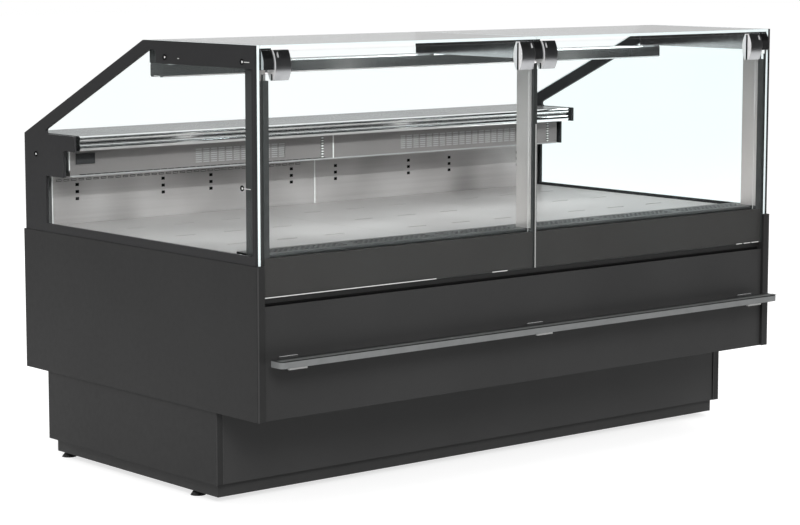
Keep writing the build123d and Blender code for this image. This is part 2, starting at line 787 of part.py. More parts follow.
def deck_supports():
    """Front and rear rails that carry the deck plates."""
    half = INNER_HALF - SHEET
    front = folded([(TUB_FRONT_Y + SEAT, TUB_RIM), (TUB_FRONT_Y + SEAT, RAIL_TOP),
                    (CAVITY_FRONT_Y, RAIL_TOP), (CAVITY_FRONT_Y, TUB_RIM)], Side.RIGHT)
    ledge = CAVITY_REAR_Y - RAIL_LEDGE
    rear = folded([(ledge, RAIL_TOP - DECK_RIM), (ledge, RAIL_TOP),
                   (CAVITY_REAR_Y, RAIL_TOP), (CAVITY_REAR_Y, TUB_RIM)], Side.RIGHT)
    return Compound([along_x(front, -half, half), along_x(rear, -half, half)])


def deck_plate(index):
    """Lift-out deck plate with folded rims and drain slots."""
    left = SHEET - INNER_HALF
    width = (-2 * left - (DECK_COUNT - 1) * DECK_GAP) / DECK_COUNT
    x0 = left + index * (width + DECK_GAP)
    y0 = CAVITY_FRONT_Y - SHEET - DECK_GAP
    y1 = BACK_Y - DECK_GAP
    plate = tray(x0, x0 + width, y0, y1, RAIL_TOP, DECK_Z, (0, 0, -1))
    slots = Sketch() + [
        place * Rectangle(DRAIN_SLOT, DRAIN_WIDTH)
        for place in GridLocations(DRAIN_PITCH_X, DRAIN_PITCH_Y, DRAIN_COLUMNS, DRAIN_ROWS)
    ]
    return plate - upright(Pos(x0 + width / 2, (y0 + y1) / 2) * slots, RAIL_TOP, DECK_Z)


def return_air_grille():
    """Slotted air intake between the posts and the deck."""
    front = FRONT + GRILLE_FRONT
    rear = CAVITY_FRONT_Y - SHEET - 2 * DECK_GAP
    half = INNER_HALF - SHEET
    profile = folded([(front, BAND_TOP - DECK_RIM), (front, GRILLE_Z), (rear, GRILLE_Z), (rear, RAIL_TOP)],
                     Side.RIGHT)
    grille = along_x(profile, -half, half)
    bay = (POST_XS[2] - POST_WIDTH) / GRILLE_BAYS
    slots = Sketch() + [
        Pos(side * POST_XS[2] / 2, 0) * place * Rectangle(GRILLE_SLOT_RATIO * bay, GRILLE_GAP)
        for side in (-1, 1)
        for place in GridLocations(bay, GRILLE_PITCH, GRILLE_BAYS, GRILLE_ROWS)
    ]
    grille -= upright(Pos(0, (front + rear) / 2) * slots, GRILLE_Z - SHEET, GRILLE_Z)
    for x in POST_XS:
        reach = POST_WIDTH / 2 + GRILLE_CLEAR
        grille -= span(x - reach, x + reach, front - SHEET, TUB_FRONT_Y + GRILLE_CLEAR, TUB_RIM, HEIGHT)
    return grille


# Cold and warm machinery

def comb(length, depth, height, fins, core):
    """Finned block: upright fins on a flat core, standing on the origin."""
    pitch = (length - FIN) / (fins - 1)
    plan = Rectangle(length, core) + [
        place * Rectangle(FIN, depth) for place in GridLocations(pitch, 1, fins, 1)
    ]
    return upright(plan, 0, height)


def evaporator_coil():
    """Finned coil on the tub floor."""
    place = Pos(0, FRONT + COIL_FRONT + COIL_DEPTH / 2, FLOOR_Z)
    return place * comb(2 * (INNER_HALF - COIL_INSET), COIL_DEPTH, COIL_HEIGHT, FIN_COUNT, FIN_CORE)


def fan_plate():
    """Wall across the tub with a round mouth for each fan."""
    face = FRONT + FAN_PLATE_FRONT
    half = INNER_HALF - FAN_PLATE_INSET
    plate = tray(-half, half, face, face + PLINTH_FACE, FLOOR_Z, TUB_RIM, (0, 1, 0))
    mouths = Sketch() + [Pos(x, FLOOR_Z + FAN_RISE) * Circle(FAN_RADIUS + FAN_CLEAR) for x in FAN_XS]
    return plate - holes_along_y(mouths, face, face + SHEET)


def blade_section():
    """Section of a bent sheet blade, set at its pitch."""
    half = BLADE_CHORD / 2
    bend = BLADE_CHORD / 6
    low = BLADE_CAMBER - BLADE
    sheet = outline((-half, 0), (-bend, BLADE_CAMBER), (bend, BLADE_CAMBER), (half, 0),
                    (half, -BLADE), (bend, low), (-bend, low), (-half, -BLADE))
    return Rot(0, 0, BLADE_PITCH) * sheet


def fan_rotor(radius):
    """Rotor about the Y axis, from y = 0 back, with pitched blades and a shaft bore."""
    blade = Pos(0, FAN_DEPTH / 2, 0) * upright(blade_section(), HUB_RADIUS - HUB_SINK, radius)
    hub = RegularPolygon(HUB_RADIUS, BLADE_COUNT, major_radius=False, rotation=-90)
    rotor = holes_along_y(hub, 0, FAN_DEPTH)
    rotor += [Rot(0, 360 * index / BLADE_COUNT, 0) * blade for index in range(BLADE_COUNT)]
    return rotor - rod(SHAFT_RADIUS + RUNNING, (0, 0, 0), (0, FAN_DEPTH, 0))


def fan_motor(mouth):
    """Motor behind a round mouth at y = 0, with its shaft forward and a spider on the rim."""
    motor = rod(MOTOR_RADIUS, (0, 0, 0), (0, MOTOR_LENGTH, 0))
    reach = mouth + SPIDER_LAP
    arm = span(-SPIDER_WIDTH / 2, SPIDER_WIDTH / 2, 0, SPIDER, 0, reach)
    motor += [Rot(0, 120 * index, 0) * arm for index in range(3)]
    return motor + rod(SHAFT_RADIUS, (0, -FAN_GAP - FAN_DEPTH - SHAFT_SPARE, 0), (0, 0, 0))


def evaporator_fan(x):
    """Rotor on its motor shaft, in front of the fan plate."""
    seat = FRONT + FAN_PLATE_FRONT + SHEET - FAN_GAP - FAN_DEPTH
    return Pos(x, seat, FLOOR_Z + FAN_RISE) * fan_rotor(FAN_RADIUS)


def fan_motors():
    seat = FRONT + FAN_PLATE_FRONT + SHEET
    motor = fan_motor(FAN_RADIUS + FAN_CLEAR)
    return Compound([Pos(x, seat, FLOOR_Z + FAN_RISE) * motor for x in FAN_XS])


def drain_y():
    """Middle of the gutter."""
    return FRONT + GUTTER_FRONT + (GUTTER + GUTTER_DROP) / 2


def drain_z():
    """Height of the level run of the drain."""
    return BODY_BOTTOM - DRAIN_DROP


def drain_pipe():
    """Pipe from the gutter down to an elbow and out at the rear, with a turned-down hose spigot."""
    path = Polyline((DRAIN_X, drain_y(), FLOOR_Z - GUTTER_DROP), (DRAIN_X, drain_y(), drain_z()),
                    (DRAIN_X, PLINTH_REAR_Y + DRAIN_TAIL, drain_z()))
    ring = Circle(DRAIN_RADIUS) - Circle(DRAIN_RADIUS - DRAIN_WALL)
    pipe = sweep(Plane(origin=path @ 0, z_dir=path % 0) * ring, path=path, transition=Transition.RIGHT)
    tail = Pos(DRAIN_X, drain_z()) * (Circle(DRAIN_RADIUS + DRAIN_WALL) - Circle(SPIGOT_RADIUS))
    return pipe - holes_along_y(tail, PLINTH_REAR_Y, PLINTH_REAR_Y + DRAIN_TAIL)


def condenser_y():
    """Rear face of the condenser, just inside the rear plinth."""
    return PLINTH_REAR_Y - PLINTH_STEP - PLINTH_FACE - CONDENSER_GAP


def condenser():
    """Finned condenser with the fan shroud on its front."""
    block = comb(CONDENSER_LENGTH, CONDENSER_DEPTH, CONDENSER_HEIGHT, CONDENSER_FINS, CONDENSER_DEPTH / 2)
    front = condenser_y() - CONDENSER_DEPTH
    unit = Pos(UNIT_X, front + CONDENSER_DEPTH / 2, FRAME_TOP) * block
    half = CONDENSER_LENGTH / 2
    top = FRAME_TOP + CONDENSER_HEIGHT
    shroud = span(UNIT_X - half, UNIT_X + half, front - SHROUD, front, FRAME_TOP, top)
    mouth = Pos(UNIT_X, FRAME_TOP + UNIT_FAN_RISE) * Circle(UNIT_FAN_RADIUS + FAN_CLEAR)
    return unit + (shroud - holes_along_y(mouth, front - SHROUD, front))


def unit_fan_y():
    """Front face of the condenser's shroud."""
    return condenser_y() - CONDENSER_DEPTH - SHROUD


def condenser_fan():
    """Rotor ahead of the shroud, behind its motor."""
    turn = Pos(UNIT_X, unit_fan_y() - SHROUD_GAP - SPIDER, FRAME_TOP + UNIT_FAN_RISE) * Rot(0, 0, 180)
    return turn * Pos(0, -FAN_DEPTH - FAN_GAP, 0) * fan_rotor(UNIT_FAN_RADIUS)


def condenser_fan_motor():
    """Motor in front of the condenser fan, on a foot."""
    place = Pos(UNIT_X, unit_fan_y() - SHROUD_GAP - SPIDER, FRAME_TOP + UNIT_FAN_RISE) * Rot(0, 0, 180)
    motor = place * rod(MOTOR_RADIUS, (0, 0, 0), (0, MOTOR_LENGTH, 0))
    motor += place * rod(SHAFT_RADIUS, (0, -FAN_GAP - FAN_DEPTH - SHAFT_SPARE, 0), (0, 0, 0))
    face = unit_fan_y() - SHROUD_GAP - SPIDER
    half = SPIDER_WIDTH
    middle = FRAME_TOP + UNIT_FAN_RISE
    return motor + span(UNIT_X - half, UNIT_X + half, face - MOTOR_LENGTH, face - SPIDER, FRAME_TOP, middle)


def compressor():
    """Sealed pot with its terminal box, on a foot plate."""
    pot = upright(Circle(POT_RADIUS), POT_FOOT, POT_HEIGHT)
    pot += upright(chamfer(Rectangle(2 * POT_RADIUS, 2 * POT_RADIUS).vertices(), POT_CORNER), 0, POT_FOOT)
    pot += span(-BOX_WIDTH / 2, BOX_WIDTH / 2, -POT_RADIUS - BOX_REACH, 0, BOX_BOTTOM, BOX_TOP)
    return Pos(POT_X, PLINTH_REAR_Y - POT_BACK, FRAME_TOP) * pot


def cable_gland():
    """Plugged gland on the rear plinth: a hexagon nut and a smaller hexagon through the panel."""
    face = PLINTH_REAR_Y - PLINTH_STEP
    nut = Pos(GLAND_X, GLAND_Z) * RegularPolygon(GLAND_HEX, HEX_SIDES)
    stem = Pos(GLAND_X, GLAND_Z) * RegularPolygon(GLAND_RADIUS, HEX_SIDES)
    gland = holes_along_y(nut, face, face + GLAND_NUT)
    return gland + holes_along_y(stem, face - PLINTH_FACE, face + GLAND_CAP)


# Rear

def control_block(spare):
    """Body of the control panel, or its pocket with some spare room."""
    half = CONTROL_LENGTH / 2 + spare
    tall = CONTROL_HEIGHT / 2 + spare
    return span(CONTROL_X - half, CONTROL_X + half, REAR_FACE_Y - CONTROL_DEPTH - spare, REAR_FACE_Y,
                CONTROL_Z - tall, CONTROL_Z + tall)


def rear_panel():
    """Outer skin of the rear with a cut-out for the control panel."""
    half = INNER_HALF - PANEL_GAP
    skin = tray(-half, half, TUB_REAR_Y, REAR_FACE_Y, BODY_BOTTOM, NOSE_BOTTOM + SHEET, (0, -1, 0))
    return skin - control_block(SEAT)


def control_panel():
    """Control block with a bare screen recess and two switch pockets."""
    panel = control_block(0)
    screen = Pos(CONTROL_X + SCREEN_X, CONTROL_Z) * Rectangle(SCREEN_LENGTH, SCREEN_HEIGHT)
    panel -= holes_along_y(screen, REAR_FACE_Y - SCREEN_SINK, REAR_FACE_Y)
    half = SWITCH_WIDTH / 2 + SEAT
    for offset_x in SWITCH_XS:
        x = CONTROL_X + offset_x
        panel -= span(x - half, x + half, SWITCH_Y - SWITCH_POCKET, REAR_FACE_Y,
                      CONTROL_Z - SWITCH_POCKET, CONTROL_Z + SWITCH_POCKET)
        reach = half + PIVOT_REACH
        panel -= along_x(Pos(SWITCH_Y, CONTROL_Z) * Circle(PIVOT_RADIUS + RUNNING), x - reach, x + reach)
    return panel


def rocker(offset_x):
    """Rocker with a dished face and two pivot stubs."""
    x = CONTROL_X + offset_x
    half = SWITCH_WIDTH / 2
    profile = outline((SWITCH_FACE, SWITCH_HALF), (SWITCH_FACE - SWITCH_DISH, 0), (SWITCH_FACE, -SWITCH_HALF),
                      (-SWITCH_BACK, -SWITCH_HALF), (-SWITCH_BACK, SWITCH_HALF))
    pivot = Pos(SWITCH_Y, CONTROL_Z)
    reach = half + PIVOT_REACH
    stubs = along_x(pivot * Circle(PIVOT_RADIUS), x - reach, x + reach)
    return along_x(pivot * profile, x - half, x + half) + stubs


def pieces():
    """Every node by name."""
    nodes = {
        "base_frame": base_frame(),
        "levelling_feet": levelling_feet(),
        "front_plinth_panel": front_plinth_panel(),
        "rear_plinth_panel": rear_plinth_panel(),
        "insulated_tub": insulated_tub(),
        "lower_front_panel": lower_front_panel(),
        "upper_front_band": upper_front_band(),
        "bumper_bar": bumper_bar(),
        "bumper_brackets": bumper_brackets(),
        "post_seals": post_seals(),
        "canopy_arms": canopy_arms(),
        "canopy_beam": canopy_beam(),
        "led_lamp": led_lamp(),
        "hinge_knuckles": hinge_knuckles(),
        "hinge_pins": hinge_pins(),
        "service_worktop": service_worktop(),
        "thermometer_display": thermometer_display(),
        "deck_supports": deck_supports(),
        "return_air_grille": return_air_grille(),
        "evaporator_coil": evaporator_coil(),
        "fan_plate": fan_plate(),
        "fan_motors": fan_motors(),
        "drain_pipe": drain_pipe(),
        "condenser": condenser(),
        "condenser_fan": condenser_fan(),
        "condenser_fan_motor": condenser_fan_motor(),
        "compressor": compressor(),
        "cable_gland": cable_gland(),
        "rear_panel": rear_panel(),
        "control_panel": control_panel(),
        "light_switch": rocker(SWITCH_XS[0]),
        "power_switch": rocker(SWITCH_XS[1]),
        "right_trestle": trestle(),
        "left_trestle": mirrored(trestle()),
    }
    pairs = {
        "plinth_panel": end_plinth_panel(),
        "end_panel": end_panel(),
        "end_frame": end_frame(),
        "end_glass": end_glass(),
        "top_glass": top_glass(),
        "front_pane": front_pane(),
        "pane_clamps": pane_clamps(),
    }
    for name, part in pairs.items():
        nodes["left_" + name] = part
        nodes["right_" + name] = mirrored(part)
    for name, part in (("duct_panel", duct_panel()), ("back_panel", back_panel())):
        nodes["left_" + name] = part
        nodes["right_" + name] = past_seam(part)
    for side, x in zip(("left", "mid", "right"), POST_XS):
        nodes[side + "_post"] = post(x)
    for side, index in zip(("left", "mid", "right"), range(DECK_COUNT)):
        nodes[side + "_deck_plate"] = deck_plate(index)
    for side, x in zip(("left", "right"), FAN_XS):
        nodes[side + "_evaporator_fan"] = evaporator_fan(x)
    return nodes


os.makedirs("parts", exist_ok=True)
for node, solid in pieces().items():
    export_step(solid, f"parts/{node}.step")
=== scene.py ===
import math
import bpy
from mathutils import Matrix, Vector


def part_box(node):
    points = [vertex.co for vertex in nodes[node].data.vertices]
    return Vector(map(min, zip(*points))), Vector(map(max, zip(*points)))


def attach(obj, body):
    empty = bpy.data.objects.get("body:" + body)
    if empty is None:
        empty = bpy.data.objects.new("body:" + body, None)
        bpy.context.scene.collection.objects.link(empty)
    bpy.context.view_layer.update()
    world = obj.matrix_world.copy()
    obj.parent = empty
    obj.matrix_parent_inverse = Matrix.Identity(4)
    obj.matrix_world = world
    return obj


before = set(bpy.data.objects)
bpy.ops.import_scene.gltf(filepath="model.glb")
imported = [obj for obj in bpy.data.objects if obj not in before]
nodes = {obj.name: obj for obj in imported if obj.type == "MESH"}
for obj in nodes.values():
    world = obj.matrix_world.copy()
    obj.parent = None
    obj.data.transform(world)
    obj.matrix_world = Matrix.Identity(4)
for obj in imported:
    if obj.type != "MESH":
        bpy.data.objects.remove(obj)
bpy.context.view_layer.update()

NOISE_RANGE = (0.3, 0.7)
ACROSS_SQUARE = 0.25
UPWARD_RANGE = (0.93, 0.99)
STREAK_SHARE = 0.1


def linear(code):
    """Linear RGBA of a hex sRGB colour."""
    parts = [int(code[i:i + 2], 16) / 255 for i in (1, 3, 5)]
    return [p / 12.92 if p <= 0.04045 else ((p + 0.055) / 1.055) ** 2.4 for p in parts] + [1.0]


class Look:
    """A material with its Principled shader and object coordinates in metres."""

    def __init__(self, name, **values):
        self.material = bpy.data.materials.new(name)
        self.material.use_nodes = True
        self.tree = self.material.node_tree
        self.shader = self.tree.nodes["Principled BSDF"]
        self.coordinates = self.tree.nodes.new("ShaderNodeTexCoord")
        for socket, value in values.items():
            self.shader.inputs[socket.replace("_", " ")].default_value = value

    def node(self, kind, **values):
        made = self.tree.nodes.new("ShaderNode" + kind)
        for name, value in values.items():
            setattr(made, name, value)
        return made

    def link(self, a, b):
        self.tree.links.new(a, b)

    def set(self, socket, value):
        self.link(value, self.shader.inputs[socket])

    def noise(self, scale, detail=3.0, rough=0.5):
        """Noise of its own scale along each axis."""
        mapping = self.node("Mapping")
        mapping.inputs["Scale"].default_value = scale
        self.link(self.coordinates.outputs["Object"], mapping.inputs["Vector"])
        noise = self.node("TexNoise")
        noise.inputs["Scale"].default_value = 1.0
        noise.inputs["Detail"].default_value = detail
        noise.inputs["Roughness"].default_value = rough
        self.link(mapping.outputs["Vector"], noise.inputs["Vector"])
        return noise.outputs["Fac"]

    def spread(self, factor, low, high, start=NOISE_RANGE[0], end=NOISE_RANGE[1]):
        """Values from low to high over a range of the factor."""
        spread = self.node("MapRange")
        spread.inputs["From Min"].default_value = start
        spread.inputs["From Max"].default_value = end
        spread.inputs["To Min"].default_value = low
        spread.inputs["To Max"].default_value = high
        self.link(factor, spread.inputs["Value"])
        return spread.outputs["Result"]

    def blend(self, factor, low, high):
        """Colour between two hex colours over a range of the factor."""
        ramp = self.node("ValToRGB")
        first, last = ramp.color_ramp.elements
        first.position, last.position = NOISE_RANGE
        first.color, last.color = linear(low), linear(high)
        self.link(factor, ramp.inputs["Fac"])
        return ramp.outputs["Color"]

    def colours(self, factor, low, high):
        self.set("Base Color", self.blend(factor, low, high))

    def roughness(self, factor, low, high):
        self.set("Roughness", self.spread(factor, low, high))

    def round_edges(self, edge):
        """Edges that look rounded by a radius."""
        bevel = self.node("Bevel", samples=4)
        bevel.inputs["Radius"].default_value = edge
        self.set("Normal", bevel.outputs["Normal"])
        return bevel.outputs["Normal"]

    def relief(self, factor, depth, edge):
        """Bump of a depth in metres, over rounded edges."""
        bump = self.node("Bump")
        bump.inputs["Distance"].default_value = depth
        self.link(factor, bump.inputs["Height"])
        self.link(self.round_edges(edge), bump.inputs["Normal"])
        self.set("Normal", bump.outputs["Normal"])

    def math(self, operation, first, second):
        """Result of an operation on two sockets, or on a socket and a number."""
        made = self.node("Math", operation=operation)
        self.link(first, made.inputs[0])
        if isinstance(second, float):
            made.inputs[1].default_value = second
        else:
            self.link(second, made.inputs[1])
        return made.outputs[0]

    def facing(self, axis):
        """Part of the surface normal along an axis of the piece."""
        parts = self.node("SeparateXYZ")
        self.link(self.coordinates.outputs["Normal"], parts.inputs[0])
        return parts.outputs[axis]

    def across(self, axis):
        """1 on the faces across an axis, 0 on the others."""
        square = self.math("POWER", self.facing(axis), 2.0)
        return self.math("GREATER_THAN", square, ACROSS_SQUARE)

    def mix(self, factor, first, second):
        """Colour between two colour sockets."""
        mix = self.node("Mix", data_type="RGBA")
        self.link(factor, mix.inputs["Factor"])
        self.link(first, mix.inputs[6])
        self.link(second, mix.inputs[7])
        return mix.outputs[2]


def powder_coat(name, low, high, rough=0.45, gloss=0.15, edge=0.0015):
    """Fine-grained painted sheet."""
    look = Look(name, Specular_IOR_Level=gloss)
    look.colours(look.noise((3, 3, 3), 5.0, 0.6), low, high)
    look.roughness(look.noise((60, 60, 60), 4.0), rough - 0.04, rough + 0.05)
    look.relief(look.noise((900, 900, 900), 2.0), 0.000012, edge)
    return look.material


def brushed(name, low, high, grain, rough=0.3, metal=1.0):
    """Metal brushed along the axis where the grain's scale is small, with soft shading in the sheet."""
    look = Look(name, Metallic=metal)
    streak = look.math("MULTIPLY", look.noise(grain, 2.0), STREAK_SHARE)
    cloud = look.noise((4, 4, 4), 1.0)
    shading = look.math("MULTIPLY", cloud, 1.0 - STREAK_SHARE)
    look.colours(look.math("ADD", streak, shading), low, high)
    look.roughness(cloud, rough - 0.02, rough + 0.02)
    return look.material


def rolled(name, top, nose):
    """Steel sheet with a satin top and polished rolled edges, as (colours, roughness, metal)."""
    look = Look(name)
    cloud = look.noise((4, 4, 4), 1.0)
    upward = look.spread(look.facing("Z"), 0.0, 1.0, *UPWARD_RANGE)
    look.set("Base Color", look.mix(upward, look.blend(cloud, *nose[0]), look.blend(cloud, *top[0])))
    look.set("Roughness", look.spread(upward, nose[1], top[1], 0.0, 1.0))
    look.set("Metallic", look.spread(upward, nose[2], top[2], 0.0, 1.0))
    return look.material


def polished(name, low, high, rough=0.07, edge=0.0008):
    """Bright polished metal with faint polishing marks."""
    look = Look(name, Metallic=1.0)
    look.colours(look.noise((25, 25, 25), 3.0), low, high)
    marks = look.noise((150, 150, 150), 4.0)
    look.roughness(marks, rough, rough + 0.05)
    look.relief(marks, 0.000003, edge)
    return look.material


def moulded(name, low, high, rough=0.4, edge=0.0008):
    """Plastic or rubber with a fine grain."""
    look = Look(name, Specular_IOR_Level=0.35)
    look.colours(look.noise((40, 40, 40), 4.0), low, high)
    grain = look.noise((1400, 1400, 1400), 2.0)
    look.roughness(grain, rough - 0.05, rough + 0.08)
    look.relief(grain, 0.00002, edge)
    return look.material


def two_tone(name, axis, face, other, rough, metal, edge=0.001):
    """Piece whose faces across an axis differ from the others. Pairs give the value of those faces first."""
    look = Look(name)
    cloud = look.noise((30, 30, 30), 3.0)
    side = look.across(axis)
    look.set("Base Color", look.mix(side, look.blend(cloud, *other), look.blend(cloud, *face)))
    look.set("Roughness", look.spread(side, rough[1], rough[0], 0.0, 1.0))
    look.set("Metallic", look.spread(side, metal[1], metal[0], 0.0, 1.0))
    look.round_edges(edge)
    return look.material


def glazing(name, low, high, axis, index, glow, rim=("#e4efef", "#eaf5f5")):
    """Clear low-reflection glass across an axis with its own edge colours and a painted glow on its edges as
    highlight, that lamps shine through.
    """
    look = Look(name, IOR=index)
    sheet = look.across(axis)
    cloud = look.noise((2, 2, 2), 2.0)
    look.set("Base Color", look.mix(sheet, look.blend(cloud, *rim), look.blend(cloud, low, high)))
    look.set("Transmission Weight", sheet)
    look.set("Roughness", look.spread(sheet, 0.35, 0.0, 0.0, 1.0))
    # Painted highlight: the edges glow
    look.set("Emission Strength", look.spread(sheet, glow, 0.0, 0.0, 1.0))
    look.shader.inputs["Emission Color"].default_value = linear("#eef8f8")
    path = look.node("LightPath")
    lighting = look.math("MAXIMUM", path.outputs["Is Shadow Ray"], path.outputs["Is Diffuse Ray"])
    look.set("Alpha", look.spread(lighting, 1.0, 0.0, 0.0, 1.0))
    return look.material


ALONG = (1, 120, 120)
UPRIGHT = (120, 120, 1)
DEEP = (120, 1, 120)

graphite = powder_coat("graphite paint", "#393939", "#3e3e3e")
band_paint = powder_coat("front band paint", "#434140", "#474544")
# Painted shade for the finger groove
groove_shade_paint = powder_coat("groove painted shade", "#161616", "#1a1a1a")
# Painted shade: a darker copy of the graphite paint for the end and side plinth panels, whose faces the key
# lamp lights more
graphite_end = powder_coat("graphite end panel", "#2f2f2f", "#333333")
# Painted light: a lighter copy of the graphite paint for the front and rear plinth panels, against the shade
# under the overhang
plinth = powder_coat("plinth paint", "#404040", "#444444")
# Painted light: a lighter copy of the graphite paint for the recessed base frame, against its shade
skirt = powder_coat("skirt paint", "#3c3c3c", "#404040")
# Painted highlight on the front edges of the end and plinth panels
edge_highlight = powder_coat("panel edge highlight", "#474747", "#4b4b4b")
frame_paint = powder_coat("end frame paint", "#313132", "#353536")
strip_paint = powder_coat("post strip paint", "#484949", "#4e4f4f")
# Black paint, also used as painted shade in the shelf holes and the panel slots
black_paint_and_hole_shade = powder_coat("black paint and hole shade", "#0c0c0c", "#111111", 0.6, 0.03)
pane_glass = glazing("pane glass", "#f9ffff", "#fbffff", "Y", 1.1, 0.0, ("#454847", "#4b4e4d"))
side_glass = glazing("end glass", "#f9ffff", "#fbffff", "X", 1.1, 0.25)
canopy_glass = glazing("canopy glass", "#f6fdfd", "#f9fefe", "Z", 1.45, 0.25)
worktop_steel = rolled("worktop steel", (("#949393", "#9e9d9d"), 0.22, 0.5),
                       (("#eaeaea", "#f2f2f2"), 0.1, 1.0))
# Post steel, also used for painted highlights on the post seals
post_steel_and_seal_highlights = brushed("post steel and seal highlights", "#e2dedc", "#ebe7e5", UPRIGHT, 0.3, 0.82)
# Deck steel, also used for painted highlights in the panel slots
deck_steel_and_dash_highlights = brushed("deck steel and dash highlights", "#cac7c6", "#d6d3d2", DEEP, 0.34, 0.7)
grille_steel = brushed("grille steel", "#8a8a8a", "#929292", ALONG, 0.4)
duct_steel = brushed("duct steel", "#8f8b8a", "#999594", ALONG, 0.34, 0.4)
# Painted light: light grey for the light seen through the duct slots and for the highlight on the duct lips
slot_light_and_lip_highlight = brushed("slot light and lip highlight", "#b6b6b6", "#bebebe", ALONG, 0.4, 0.4)
back_steel = brushed("back panel steel", "#9d9998", "#e0dbda", ALONG, 0.36, 0.5)
galvanised = brushed("galvanised steel", "#8d9092", "#a3a6a8", (30, 30, 30), 0.4)
chrome = polished("polished steel", "#a6a7a9", "#b4b5b7", 0.1)
bright = polished("bright arm steel", "#e2e3e4", "#ecedee", 0.08)
clamp_steel = two_tone("clamp steel", "X", ("#f2f2f2", "#fafafa"), ("#a8a9ab", "#b4b5b7"),
                       (0.4, 0.28), (0.0, 1.0))
# Painted shade: the bumper's upward faces are dark, for the shade and dark reflection on its top
bumper = two_tone("bumper grey with painted shade on top", "Z", ("#2b2c2c", "#303131"), ("#7a7c7c", "#828484"),
                  (0.5, 0.4), (0.0, 0.0))
# Painted highlight: the brackets' upward faces are light
bracket = two_tone("bracket steel with painted highlight on top", "Z", ("#d6d6d6", "#dedede"), ("#5a5b5b", "#626363"),
                   (0.3, 0.4), (0.0, 0.5))
# Painted highlight along the bumper's shoulder
shoulder_highlight = moulded("bumper shoulder highlight", "#646665", "#6c6e6d", 0.5)
# Seal rubber, also used as painted shade in the finger groove
rubber = moulded("seal rubber", "#242424", "#2b2b2b", 0.5)
seal_grey = moulded("post seal rubber", "#434444", "#4a4b4b", 0.5)
foot = moulded("foot plastic", "#1d1d1d", "#262626", 0.5)
beam = brushed("canopy beam steel", "#c4c4c4", "#cccccc", ALONG, 0.25)
# Lamp diffuser white, also used for painted highlights and for the painted light in the duct dots
lamp = moulded("lamp diffuser and painted highlights", "#ececea", "#f4f4f2", 0.3)
screen = powder_coat("display plastic", "#39393a", "#3e3e3f", 0.35)
control = moulded("control plastic", "#2a2a2b", "#303031", 0.4)
light_key = moulded("light switch plastic", "#1f6b3a", "#267a44", 0.25)
power_key = moulded("power switch plastic", "#8c1f1f", "#9a2626", 0.25)
liner = moulded("tub liner", "#d2d3d3", "#dcdddd", 0.4)
fins = brushed("fin aluminium", "#b0b2b4", "#c0c2c4", UPRIGHT, 0.35)
motor = powder_coat("motor paint", "#1c1c1d", "#232324", 0.45)
rotor = moulded("rotor plastic", "#262627", "#2e2e2f", 0.4)
pipe = moulded("pipe plastic", "#77797b", "#818385", 0.4)

LOOKS = {
    graphite: ["lower_front_panel", "rear_panel"],
    band_paint: ["upper_front_band"],
    graphite_end: ["left_end_panel", "right_end_panel", "left_plinth_panel", "right_plinth_panel"],
    plinth: ["front_plinth_panel", "rear_plinth_panel"],
    skirt: ["base_frame"],
    frame_paint: ["left_end_frame", "right_end_frame"],
    black_paint_and_hole_shade: ["left_trestle", "right_trestle"],
    pane_glass: ["left_front_pane", "right_front_pane"],
    side_glass: ["left_end_glass", "right_end_glass"],
    canopy_glass: ["left_top_glass", "right_top_glass"],
    worktop_steel: ["service_worktop"],
    post_steel_and_seal_highlights: ["left_post", "mid_post", "right_post"],
    deck_steel_and_dash_highlights: ["left_deck_plate", "mid_deck_plate", "right_deck_plate"],
    grille_steel: ["return_air_grille"],
    duct_steel: ["left_duct_panel", "right_duct_panel"],
    back_steel: ["left_back_panel", "right_back_panel"],
    galvanised: ["deck_supports", "fan_plate"],
    clamp_steel: ["left_pane_clamps", "right_pane_clamps"],
    chrome: ["hinge_knuckles", "hinge_pins"],
    bright: ["canopy_arms"],
    bumper: ["bumper_bar"],
    bracket: ["bumper_brackets"],
    seal_grey: ["post_seals"],
    foot: ["levelling_feet"],
    beam: ["canopy_beam"],
    lamp: ["led_lamp"],
    screen: ["thermometer_display"],
    control: ["control_panel"],
    light_key: ["light_switch"],
    power_key: ["power_switch"],
    liner: ["insulated_tub"],
    fins: ["evaporator_coil", "condenser"],
    motor: ["fan_motors", "condenser_fan_motor", "compressor"],
    rotor: ["left_evaporator_fan", "right_evaporator_fan", "condenser_fan"],
    pipe: ["drain_pipe", "cable_gland"],
}
for material, names in LOOKS.items():
    for name in names:
        nodes[name].data.materials.clear()
        nodes[name].data.materials.append(material)


def add_mesh(name, vertices, faces, material):
    """Object with a mesh of one material."""
    mesh = bpy.data.meshes.new(name)
    mesh.from_pydata(vertices, [], faces)
    mesh.update()
    made = bpy.data.objects.new(name, mesh)
    bpy.context.scene.collection.objects.link(made)
    mesh.materials.append(material)
    return made


def fitted(piece, body="cabinet"):
    """Fix a small piece to a body."""
    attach(piece, body)
    return piece


def turned(name, profile, centre, axis, material, steps=24):
    """Solid of revolution: (radius, height) points up from the centre along +X or -X."""
    vertices = []
    faces = []
    for radius, height in profile:
        for k in range(steps):
            angle = 2 * math.pi * k / steps
            vertices.append((centre[0] + axis * height, centre[1] + radius * math.cos(angle),
                             centre[2] + radius * math.sin(angle)))
    for ring in range(len(profile) - 1):
        for k in range(steps):
            a = ring * steps + k
            b = ring * steps + (k + 1) % steps
            faces.append((a, b, b + steps, a + steps))
    faces.append(tuple(range(steps)))
    faces.append(tuple(range((len(profile) - 1) * steps, len(profile) * steps)))
    made = add_mesh(name, vertices, faces, material)
    for polygon in made.data.polygons:
        polygon.use_smooth = True
    made.data.set_sharp_from_angle(angle=math.radians(40))
    return made


